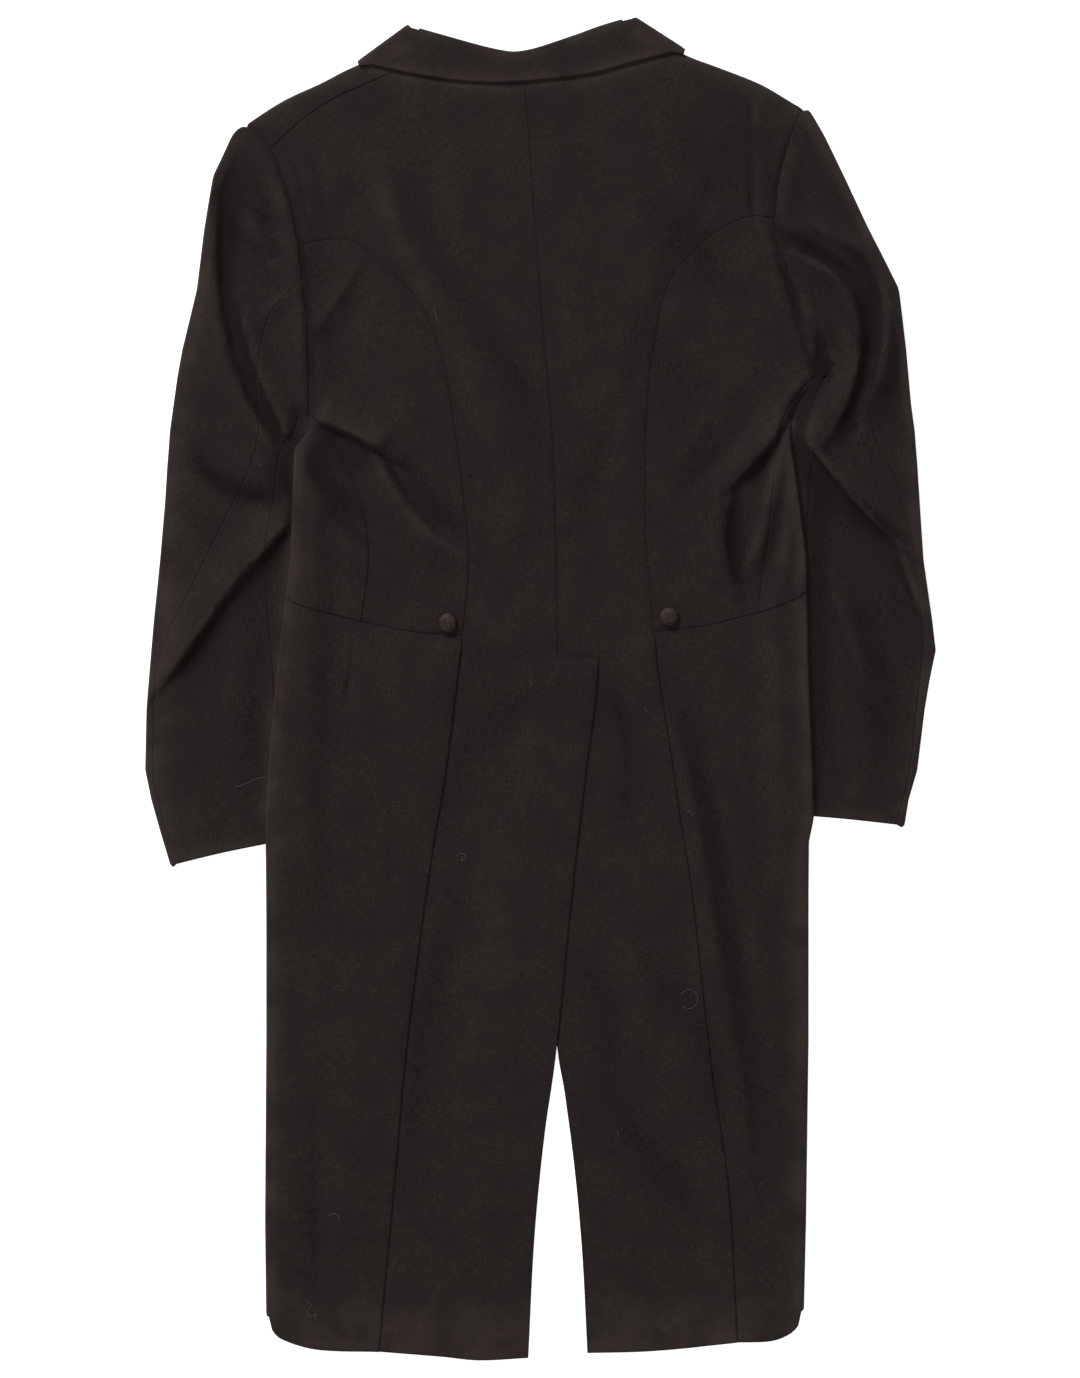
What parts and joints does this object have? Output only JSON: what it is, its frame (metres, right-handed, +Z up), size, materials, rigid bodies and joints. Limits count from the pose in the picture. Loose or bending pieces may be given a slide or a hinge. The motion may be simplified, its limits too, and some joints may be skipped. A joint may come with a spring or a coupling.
{
  "type": "white tie tailcoat",
  "caption": "Black wool white tie tailcoat laid flat on its front, its back up: two hanging tails with a vent and pleats, long sleeves, a notched collar and covered buttons at the waist",
  "frame": {"origin": "bottom centre of the bounding box, on the surface the coat lies on", "axes": "+X to the right of the coat as seen from above, +Y towards the collar along its length, +Z up through its layers"},
  "size_m": [0.6391, 1.0875, 0.0149],
  "materials": {
    "wool": "matte black worsted with a soft nap",
    "covered_button": "silk-covered dome, slightly faded"
  },
  "bodies": {
    "root": {"back_left": "wool", "back_right": "wool", "side_left": "wool", "side_right": "wool", "front_left": "wool", "front_right": "wool", "skirt_left": "wool", "skirt_right": "wool", "sleeve_top_left": "wool", "sleeve_top_right": "wool", "sleeve_under_left": "wool", "sleeve_under_right": "wool", "collar": "wool", "button_left": "covered_button", "button_right": "covered_button"}
  },
  "joints": []
}
